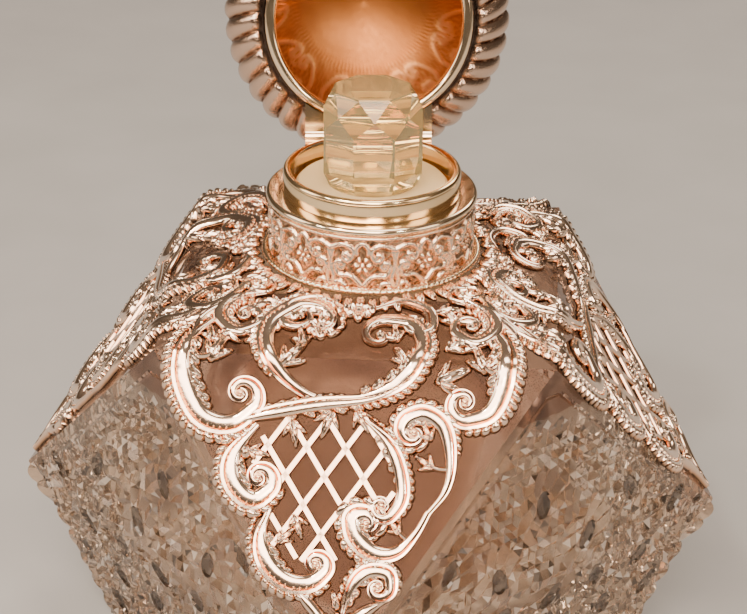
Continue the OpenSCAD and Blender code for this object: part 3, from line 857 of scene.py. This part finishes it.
def make_stopper():
    """An eight-sided knob with table, trapezium and triangle facets, on a ground tapered plug."""
    low, high = box_mm("glass_stopper")
    knob_r = 9.95
    seat = LIP_Z + 0.05
    sides, plug = 8, 32
    # radius, height, half-step turn
    levels = [(BORE_R + 0.6, seat, 0.5), (knob_r, seat + 3, 0.5), (knob_r, seat + 11.6, 0.5),
              (knob_r * 0.93, seat + 14.8, 0), (knob_r * 0.76, high[2] - 0.2, 0.5),
              (knob_r * 0.73, high[2], 0.5)]
    rings = [ring_points(r, full_turn(sides) + shift * 2 * math.pi / sides, z) for r, z, shift in levels]
    faces = []
    for k in range(len(levels) - 1):
        a, b = k * sides, (k + 1) * sides
        for i in range(sides):
            j = (i + 1) % sides
            if levels[k][2] == levels[k + 1][2]:
                faces.append((a + i, a + j, b + j, b + i))
            elif levels[k][2] == 0:
                faces += [(a + i, a + j, b + i), (a + j, b + j, b + i)]
            else:
                faces += [(a + i, b + j, b + i), (a + i, a + j, b + j)]
    faces.append(tuple((len(levels) - 1) * sides + i for i in range(sides)))
    seat_ring = len(levels) * sides
    rings += [ring_points(r, full_turn(plug) + math.pi / sides, z) for r, z in (
        (BORE_R + 0.3, seat), (BORE_R - 0.06, seat - 0.5), (BORE_R - 0.62, low[2] + 0.5),
        (BORE_R - 1.1, low[2]))]
    step = plug // sides
    for i in range(sides):
        faces.append(((i + 1) % sides, i, *(seat_ring + (i * step + k) % plug for k in range(step + 1))))
    polished = len(faces)
    faces += [tuple(seat_ring + i for i in f[::-1]) for f in grid_faces(4, plug)]
    faces.append(tuple(seat_ring + 3 * plug + i for i in range(plug - 1, -1, -1)))
    piece = mesh_object("faceted_glass_stopper", about_z(np.concatenate(rings), COLLAR_TURN), faces,
                        [STOPPER_GLASS, GROUND_GLASS], smooth=False)
    piece.data.polygons.foreach_set("material_index", [0] * polished + [1] * (len(faces) - polished))
    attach(piece, "stopper")
    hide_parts("glass_stopper")


# ---------------------------------------------------------------- embossed silver

def distance_to(points, curves):
    """Distance from each flat point to the nearest of the curves' points."""
    cloud = np.concatenate(curves)
    best = np.full(len(points), 1e9)
    for start in range(0, len(cloud), 64):
        part = cloud[start:start + 64]
        d = ((points[:, None, :] - part[None]) ** 2).sum(2).min(1)
        best = np.minimum(best, d)
    return np.sqrt(best)


def ridge(distance, half_width):
    """Rounded ridge along a curve."""
    return np.sqrt(np.clip(1 - (distance / half_width) ** 2, 0, 1))


def band_relief(x, z, height):
    """Height of the collar band's embossing in one repeat: scrolls, leaves and a flower, close set."""
    curves = [
        scroll([(0.4, 1.5), (2.2, 3.4), (4.6, 3.2), (5.4, 5.2)], end_eye=(4.2, 5.2), turns=1.2),
        scroll([(6, 8.6), (3.6, 9.6), (1.6, 8.4), (2, 6.6)], end_eye=(3.1, 7.2), turns=1),
        scroll([(6.1, 1.2), (5.4, 2.6), (6.2, 5), (5.8, 8)]),
        scroll([(0.2, 9.8), (1.2, 9), (1.1, 7.8)]),
        scroll([(3.4, 1.3), (4.4, 2.2), (5.2, 1.5)])]
    lines = ridge(distance_to(np.stack([np.abs(x), z], 1), curves), 0.55)
    angle, r = np.arctan2(z - 5.4, x), np.hypot(x, z - 5.4)
    petals = np.clip(1 - np.abs(r - 1.2) / 0.9, 0, 1) * (0.55 + 0.45 * np.cos(6 * angle))
    core = np.clip(1 - r / 0.6, 0, 1)
    waves = 0.2 + 0.1 * np.sin(3.1 * x + 1.7 * np.sin(2.3 * z)) * np.sin(2.7 * z + 1.3 * np.sin(1.9 * x))
    borders = np.maximum(ridge(np.abs(z - 0.5), 0.5), ridge(np.abs(z - height + 0.45), 0.45))
    return np.maximum.reduce([lines, petals ** 0.8, core, borders, waves])


def make_collar_band():
    """The embossed sleeve: scrolls and flowers raised from a stippled ground."""
    low, high = box_mm("collar_band")
    height = high[2] - low[2]
    repeats, columns, rows = 10, 900, 64
    turn = full_turn(columns)
    width = 2 * math.pi * BAND_R / repeats
    tt, zz = np.meshgrid(turn, np.linspace(0, height, rows))
    x = ((tt * BAND_R / width) % 1 - 0.5) * width
    h = band_relief(x.ravel(), zz.ravel(), height)
    outer = ring_points(BAND_R - 0.62 + 0.68 * h, tt.ravel(), low[2] + zz.ravel())
    inner = [ring_points(BAND_R - 1.1, turn, level) for level in (high[2], low[2])]
    piece = mesh_object("embossed_collar", np.concatenate([outer, *inner]),
                        grid_faces(rows + 2, columns, close=True), [SILVER_EMBOSSED],
                        relief=np.concatenate([h, np.zeros(2 * columns)]))
    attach(piece, "bottle")
    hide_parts("collar_band")


def dome_profile(wall, steps):
    """Closed lid's profile from the rim to the crown: radius, height and run along the curve."""
    lower, upper = DOME_LOWER - wall, DOME_H - BULGE_H - wall
    r = DOME_R - wall
    start = math.asin((RIM_H - BULGE_H) / lower)
    low_part = [(r * math.cos(a), BULGE_H + lower * math.sin(a)) for a in np.linspace(start, 0, 400)]
    high_part = [(r * math.cos(a), BULGE_H + upper * math.sin(a))
                 for a in np.linspace(0, math.pi / 2, 800)][1:]
    dense = np.array(low_part + high_part)
    run = run_along(dense)
    at = np.linspace(0, run[-1], steps)
    return *sample(dense, run, at).T, at


def dome_relief(turn, run, total):
    """Embossing of the lid by angle and run from the rim: swirled flutes, scrolls and a rosette."""
    flutes, repeats, panel_w = 38, 9, 16
    wave = (turn + (run - 8) * 0.010) * flutes / (2 * math.pi)
    lobe = np.abs(((wave % 1) - 0.5) * 2)
    length = smooth_step(1.2, 2.6, run) * (1 - smooth_step(14, 17, run + 2.5 * lobe))
    flute = np.sqrt(np.clip(1 - lobe ** 2, 0, 1)) ** 1.4 * length
    x = ((turn * repeats / (2 * math.pi)) % 1 - 0.5) * panel_w
    crown = [
        scroll([(0.3, 19), (2.6, 21.6), (5.4, 20.4), (7.6, 22.4)], end_eye=(6.2, 23.2), turns=1.1),
        scroll([(0.4, 29), (2.8, 27.4), (4.8, 28.6), (4, 31)], end_eye=(3.2, 29.6), turns=1),
        scroll([(7.8, 25), (6, 28), (6.4, 32), (4.4, 36), (1.2, 37)], end_eye=(2.2, 35), turns=1),
        scroll([(0.2, 22), (0.8, 25), (3.6, 25.4)])]
    lines = ridge(distance_to(np.stack([np.abs(x), run], 1), crown), 0.75)
    lines = lines * smooth_step(16.5, 19, run) * (1 - smooth_step(total - 14, total - 12, run))
    angle = np.arctan2(run - 33, x)
    bloom = np.clip(1 - np.hypot(x, run - 33) / 2.6, 0, 1) * (0.6 + 0.4 * np.cos(6 * angle))
    petal = np.clip(np.cos(turn * 10), 0, 1) ** 0.5 * smooth_step(total - 11, total - 8.5, run)
    petal = petal * (1 - smooth_step(total - 4, total - 3, run))
    boss = smooth_step(total - 2.6, total - 1, run)
    matting = (0.34 + 0.08 * np.sin(5 * x + 2 * np.sin(3 * run)) * np.sin(5 * run)) * smooth_step(15, 18, run)
    return np.maximum.reduce([flute, lines * 0.85, bloom, petal * 0.8, boss, matting])


def make_dome():
    """The lid's shell: embossed outside, the same work reversed and gilded inside."""
    for name, wall, columns, rows, gain, look, slot in (
            ("lid_dome_outside", 0.0, 720, 112, 1.1, SILVER_LID, "embossed_silver"),
            ("lid_dome_gilt_inside", DOME_WALL, 480, 80, 0.24, GILT, "silver_gilt")):
        r, h, run = dome_profile(wall, rows)
        turn = full_turn(columns)
        tt, rr = np.meshgrid(turn, run)
        total = run[-1]
        relief = dome_relief(tt.ravel(), rr.ravel(), total).reshape(tt.shape)
        if wall:
            relief = relief * smooth_step(12, 16, rr) * (1 - smooth_step(total - 16, total - 12, rr))
        slope_r, slope_h = np.gradient(r), np.gradient(h)
        size = np.hypot(slope_r, slope_h)
        ends = smooth_step(0, 1.6, rr), smooth_step(0, 3, total - rr + 1.4)
        lift = gain * (relief - (1 if wall else 0.6)) * ends[0] * ends[1]
        radius = np.maximum(r[:, None] + (slope_h / size)[:, None] * lift, AXIS_GAP)
        height = h[:, None] - (slope_r / size)[:, None] * lift
        face = ring_points(radius, tt, height + FLANGE_Z)
        points, faces = skin_back(face, rows, turn, wall)
        piece = mesh_object(name, opened(points), faces, [look], sharp_deg=60,
                            relief=np.concatenate([relief.ravel(), np.zeros(len(points) - len(face))]))
        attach(piece, "lid")
        if not wall:
            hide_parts("lid_dome")


def skin_back(face, rows, turn, wall):
    """Closes a skin of thin silver with a smooth back inside the wall."""
    back_rows, columns = 24, len(turn)
    r, h, _ = dome_profile(0.97 if wall else 0.85, back_rows)
    back = np.concatenate([ring_points(max(radius, AXIS_GAP), turn, z + FLANGE_Z) for radius, z in zip(r, h)])
    base = len(face)
    faces = grid_faces(rows, columns) + [tuple((rows - 1) * columns + c for c in range(columns))]
    faces += [tuple(base + i for i in f[::-1]) for f in grid_faces(back_rows, columns)]
    faces.append(tuple(base + (back_rows - 1) * columns + c for c in range(columns - 1, -1, -1)))
    faces += [((c + 1) % columns, c, base + c, base + (c + 1) % columns) for c in range(columns)]
    return np.concatenate([face, back]), faces


# ---------------------------------------------------------------- turned and plain silver

def turned(name, profile, look, body, node, lid=False):
    """A turned ring from its outline."""
    points, faces = lathe(profile, 192)
    piece = mesh_object(name, opened(points) if lid else points, faces, [look], sharp_deg=32)
    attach(piece, body)
    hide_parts(node)


def make_turned_rings():
    half = (FLANGE_Z - FLANGE_LOW) / 2
    flange = [(NECK_R + 0.3, FLANGE_LOW), (FLANGE_R - 2.2, FLANGE_LOW), (FLANGE_R - 1.2, FLANGE_LOW + 0.12)]
    flange += arc(FLANGE_R - half, FLANGE_Z - half, half, -70, 84, 14)
    flange += [(BEZEL_R + 0.25, FLANGE_Z), (NECK_R + 0.3, FLANGE_Z)]
    turned("polished_flange", flange, SILVER_POLISHED, "bottle", "collar_flange")
    wall = 1.6
    lip = wall / 2
    bezel = [(BEZEL_R - wall, FLANGE_Z), (BEZEL_R - 0.05, FLANGE_Z), (BEZEL_R, FLANGE_Z + 0.2)]
    bezel += [(BEZEL_R, BEZEL_Z - lip - 0.5), (BEZEL_R - 0.08, BEZEL_Z - lip - 0.2)]
    bezel += arc(BEZEL_R - lip, BEZEL_Z - lip, lip, 0, 180, 16)
    bezel += [(BEZEL_R - wall, BEZEL_Z - lip - 0.4)]
    turned("raised_bezel", bezel, SILVER_WARM, "bottle", "collar_bezel")
    base = FLANGE_Z + 0.1
    face_r = (RIM_R - RIM_INNER) / 2
    rim = arc(RIM_INNER + face_r, base + face_r, face_r, 180, 360, 18)
    rim += [(RIM_R, base + 2.1), (RIM_R - 0.3, base + 2.6), (RIM_INNER, base + 2.6)]
    turned("lid_rim_band", rim, SILVER_POLISHED, "lid", "lid_rim", lid=True)


def make_foot_wire():
    """Twisted wire round the foot of the collar."""
    low, high = box_mm("collar_foot_wire")
    radius = (high[2] - low[2]) / 2
    steps, around, twists = 720, 10, 110
    tt, aa = np.meshgrid(full_turn(steps), full_turn(around), indexing="ij")
    r = radius * (0.86 + 0.14 * np.cos(2 * aa - twists * tt))
    points = ring_points(high[0] - radius + r * np.cos(aa), tt, high[2] - radius + r * np.sin(aa))
    piece = mesh_object("collar_twisted_wire", points, grid_faces(steps, around, close=True),
                        [SILVER_POLISHED], sharp_deg=60)
    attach(piece, "bottle")
    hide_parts("collar_foot_wire")


# ---------------------------------------------------------------- materials

def material(name):
    mat = bpy.data.materials.new(name)
    mat.use_nodes = True
    tree = mat.node_tree
    tree.nodes.clear()
    out = tree.nodes.new("ShaderNodeOutputMaterial")
    shader = tree.nodes.new("ShaderNodeBsdfPrincipled")
    tree.links.new(shader.outputs[0], out.inputs[0])
    return mat, tree, shader


def ramp(tree, source, stops, target):
    """Feeds a socket with the colours that a value picks from a ramp."""
    node = tree.nodes.new("ShaderNodeValToRGB")
    while len(node.color_ramp.elements) < len(stops):
        node.color_ramp.elements.new(0.5)
    for element, (place, colour) in zip(node.color_ramp.elements, stops):
        element.position = place
        element.color = (*colour, 1)
    tree.links.new(source, node.inputs[0])
    tree.links.new(node.outputs[0], target)


def noise(tree, scale, detail=4):
    coords = tree.nodes.new("ShaderNodeTexCoord")
    node = tree.nodes.new("ShaderNodeTexNoise")
    node.inputs["Scale"].default_value = scale
    node.inputs["Detail"].default_value = detail
    tree.links.new(coords.outputs["Object"], node.inputs["Vector"])
    return node.outputs["Fac"]


def bump(tree, shader, source, distance, strength=1.0):
    node = tree.nodes.new("ShaderNodeBump")
    node.inputs["Distance"].default_value = distance
    node.inputs["Strength"].default_value = strength
    tree.links.new(source, node.inputs["Height"])
    tree.links.new(node.outputs[0], shader.inputs["Normal"])


def set_roughness(tree, shader, source, low, high):
    node = tree.nodes.new("ShaderNodeMapRange")
    node.inputs["To Min"].default_value = low
    node.inputs["To Max"].default_value = high
    tree.links.new(source, node.inputs["Value"])
    tree.links.new(node.outputs[0], shader.inputs["Roughness"])


def silver(name, hollow_tarnish_and_shade, light, rough_low, rough_high, matted=False):
    """Silver with tarnish and painted shade in the hollows, a painted highlight on the high parts and fine
    surface wear.
    """
    mat, tree, shader = material(name)
    shader.inputs["Metallic"].default_value = 1.0
    relief = tree.nodes.new("ShaderNodeAttribute")
    relief.attribute_name = "relief"
    mix = tree.nodes.new("ShaderNodeMath")
    mix.operation = "MULTIPLY_ADD"
    mix.inputs[1].default_value = 0.35
    tree.links.new(noise(tree, 260), mix.inputs[0])
    tree.links.new(relief.outputs["Fac"], mix.inputs[2])
    # Relief picks the colour: tarnish with painted shade lowest, a painted copper shade above it, the metal's
    # own colour higher and a painted highlight on the highest parts.
    painted_copper_shade = tuple(c * share for c, share in zip(light, (0.74, 0.58, 0.47)))
    painted_highlight = tuple(min(1.0, c * 1.06 + 0.04) for c in light)
    ramp(tree, mix.outputs[0], [(0.24, hollow_tarnish_and_shade), (0.46, painted_copper_shade), (0.7, light), (0.95, painted_highlight)],
         shader.inputs["Base Color"])
    set_roughness(tree, shader, noise(tree, 900, 6), rough_low, rough_high)
    bump(tree, shader, noise(tree, 2600 if matted else 700, 3), 0.00012 if matted else 0.00004, 0.6)
    return mat


def plain_metal(name, light, shade, rough_low, rough_high):
    """Polished sheet metal: faint colour drift, soft wear marks and small dents."""
    mat, tree, shader = material(name)
    shader.inputs["Metallic"].default_value = 1.0
    ramp(tree, noise(tree, 90, 5), [(0.3, shade), (0.62, light)], shader.inputs["Base Color"])
    set_roughness(tree, shader, noise(tree, 420, 7), rough_low, rough_high)
    bump(tree, shader, noise(tree, 140, 2), 0.00012, 0.5)
    return mat


def glass(name, tint, shade, rough_low, rough_high, index=1.52, body=0.05, mirror=(1, 1, 1)):
    """Lead glass with a trace of colour drift, a polishing haze and a little milky body; in the stopper glass
    the milky body is a painted reflection, and in the glinting glass it gives painted glints.

    mirror tints what it reflects."""
    mat, tree, shader = material(name)
    shader.inputs["Transmission Weight"].default_value = 1.0 - body
    shader.inputs["IOR"].default_value = index
    shader.inputs["Specular Tint"].default_value = (*mirror, 1)
    ramp(tree, noise(tree, 35, 3), [(0.35, shade), (0.65, tint)], shader.inputs["Base Color"])
    set_roughness(tree, shader, noise(tree, 500, 5), rough_low, rough_high)
    return mat


def plaster():
    mat, tree, shader = material("old_plaster")
    grain = noise(tree, 1400, 6)
    ramp(tree, grain, [(0.3, (0.7, 0.64, 0.54)), (0.7, (0.88, 0.84, 0.75))], shader.inputs["Base Color"])
    shader.inputs["Roughness"].default_value = 0.9
    bump(tree, shader, grain, 0.0003)
    return mat


def floor_material():
    mat, tree, shader = material("pale_floor")
    ramp(tree, noise(tree, 30, 4), [(0.3, (0.40, 0.40, 0.40)), (0.7, (0.43, 0.43, 0.43))],
         shader.inputs["Base Color"])
    shader.inputs["Roughness"].default_value = 0.75
    return mat


SILVER_CHASED = silver("chased_silver", (0.085, 0.052, 0.034), (0.92, 0.68, 0.51), 0.08, 0.21)
SILVER_EMBOSSED = silver("embossed_silver", (0.085, 0.052, 0.034), (0.93, 0.65, 0.45), 0.12, 0.26,
                         matted=True)
# The lid's light colour is darker than the other silver's: a painted dark reflection on the lid.
SILVER_LID = silver("lid_silver", (0.075, 0.048, 0.034), (0.62, 0.43, 0.31), 0.10, 0.26, matted=True)
SILVER_POLISHED = plain_metal("polished_silver", (0.99, 0.79, 0.54), (0.92, 0.67, 0.43), 0.08, 0.19)
SILVER_WARM = plain_metal("silver_gilt_bezel", (1.0, 0.76, 0.44), (0.95, 0.65, 0.34), 0.10, 0.22)
GILT = silver("worn_gilding", (0.53, 0.20, 0.055), (0.78, 0.36, 0.115), 0.34, 0.5)
CUT_GLASS = glass("cut_lead_glass", (0.98, 0.77, 0.58), (0.91, 0.65, 0.46), 0.0, 0.04, body=0.05)
# Polished glass tinted near black: painted dark reflections in the oval cuts and in a few small facets.
POLISHED_GLASS_PAINTED_DARK = glass("polished_lead_glass_painted_dark", (0.20, 0.16, 0.13), (0.11, 0.09, 0.075), 0.0, 0.05)
CAVITY_GLASS = glass("inner_wall_glass", (0.95, 0.75, 0.58), (0.87, 0.64, 0.46), 0.15, 0.3, body=0.1)
GROUND_GLASS = glass("ground_joint_glass", (1.0, 0.77, 0.42), (0.97, 0.66, 0.32), 0.3, 0.5, index=1.45,
                     body=0.75, mirror=(0.5, 0.38, 0.25))
# Glass tinted dark brown for the uncut panels: a painted reflection of the silver mounts.
FACET_GLASS = glass("mirroring_lead_glass", (0.55, 0.32, 0.23), (0.42, 0.23, 0.16), 0.0, 0.06,
                    mirror=(0.26, 0.15, 0.11))
# Milky pale glass for a few small facets: painted glints.
GLINT_GLASS = glass("glinting_lead_glass", (1.0, 0.91, 0.81), (0.98, 0.84, 0.71), 0.1, 0.25, body=0.3)
# Stopper glass with a milky warm yellow body: a painted reflection of the gilt lid and silver around it.
STOPPER_GLASS = glass("stopper_glass", (1.0, 0.88, 0.54), (1.0, 0.82, 0.42), 0.0, 0.03, index=1.6, body=0.13)
PLASTER = plaster()
GLASS_LOOKS = (CUT_GLASS, POLISHED_GLASS_PAINTED_DARK, CAVITY_GLASS, GROUND_GLASS, FACET_GLASS, GLINT_GLASS)


def dress_cad_nodes():
    """Gives the CAD nodes that stay visible their materials."""
    for node, mat in (("collar_hinge_bracket", SILVER_POLISHED), ("hinge_pin", SILVER_POLISHED),
                      ("lid_hinge_leaf", SILVER_POLISHED), ("plaster_bedding", PLASTER)):
        mesh = frame["nodes"][node].data
        for i in range(len(mesh.materials)):
            mesh.materials[i] = mat


# ---------------------------------------------------------------- stage, lights and camera

def make_stage():
    size, sink = 4.0, 0.0002
    mesh = bpy.data.meshes.new("floor")
    corners = [(-size, -size, 0), (size, -size, 0), (size, size, 0), (-size, size, 0)]
    mesh.from_pydata(corners, [], [(0, 1, 2, 3)])
    floor = bpy.data.objects.new("floor", mesh)
    bpy.context.scene.collection.objects.link(floor)
    floor.location.z = -sink
    mesh.materials.append(floor_material())


def area_light(name, place, size, power, colour, aim=(0, 0, 0.08)):
    data = bpy.data.lights.new(name, "AREA")
    data.shape = "RECTANGLE"
    data.size, data.size_y = size
    data.energy = power
    data.color = colour
    lamp = bpy.data.objects.new(name, data)
    bpy.context.scene.collection.objects.link(lamp)
    lamp.location = place
    lamp.rotation_euler = (Vector(aim) - Vector(place)).to_track_quat("-Z", "Y").to_euler()


def make_lights():
    """Warm soft lamps, with three small ones for sparks on the silver, under a dim warm sky."""
    warm, soft_warm, pale = (1, 0.82, 0.66), (1, 0.86, 0.72), (1, 0.88, 0.76)
    area_light("key", (-0.16, -0.68, 0.80), (0.85, 0.5), 14.5, warm)
    area_light("spark", (-0.34, -0.36, 0.92), (0.06, 0.06), 2.4, pale)
    area_light("spark_left", (-0.62, -0.42, 0.62), (0.06, 0.06), 1.4, pale)
    area_light("spark_right", (0.5, -0.62, 0.6), (0.06, 0.06), 1.4, pale)
    area_light("fill", (0.85, -0.35, 0.5), (0.4, 0.5), 2.4, warm)
    area_light("side", (-0.9, -0.1, 0.5), (0.4, 0.5), 3, warm)
    area_light("front", (0.12, -0.85, 0.56), (0.25, 0.18), 2, warm, aim=(0, 0, 0.13))
    area_light("top", (0.1, 0.05, 1.0), (0.35, 0.35), 3, soft_warm)
    area_light("back", (0.4, 0.8, 0.7), (0.3, 0.3), 2.5, soft_warm)
    world = bpy.data.worlds.new("studio")
    bpy.context.scene.world = world
    world.use_nodes = True
    tree = world.node_tree
    tree.nodes.clear()
    out = tree.nodes.new("ShaderNodeOutputWorld")
    back = tree.nodes.new("ShaderNodeBackground")
    coords = tree.nodes.new("ShaderNodeTexCoord")
    split = tree.nodes.new("ShaderNodeSeparateXYZ")
    tree.links.new(coords.outputs["Generated"], split.inputs[0])
    stops = [(0, (0.15, 0.125, 0.10)), (0.3, (0.085, 0.066, 0.052)), (0.9, (0.22, 0.18, 0.145))]
    ramp(tree, split.outputs["Z"], stops, back.inputs["Color"])
    tree.links.new(back.outputs[0], out.inputs[0])


def make_camera():
    """The view from the front: a long lens, slightly to the right, looking down."""
    sensor, width, focal = 36, 747, 2200
    azimuth, elevation, roll = math.radians(4.3), math.radians(26.3), math.radians(0.95)
    distance = 0.4268
    target = Vector((0.0007, 0, 0.0748))
    back = Vector((math.sin(azimuth) * math.cos(elevation), -math.cos(azimuth) * math.cos(elevation),
                   math.sin(elevation)))
    data = bpy.data.cameras.new("photo_view")
    data.sensor_width = sensor
    data.sensor_fit = "HORIZONTAL"
    data.lens = focal / width * sensor
    data.clip_start = 0.01
    camera = bpy.data.objects.new("photo_view", data)
    bpy.context.scene.collection.objects.link(camera)
    turn = back.to_track_quat("Z", "Y").to_matrix() @ Matrix.Rotation(roll, 3, "Z")
    camera.matrix_world = Matrix.Translation(target + back * distance) @ turn.to_4x4()
    bpy.context.scene.camera = camera


make_camera()
make_stage()
make_lights()
make_glass_body()
make_stopper()
make_mounts()
make_collar_band()
make_foot_wire()
make_turned_rings()
make_dome()
dress_cad_nodes()
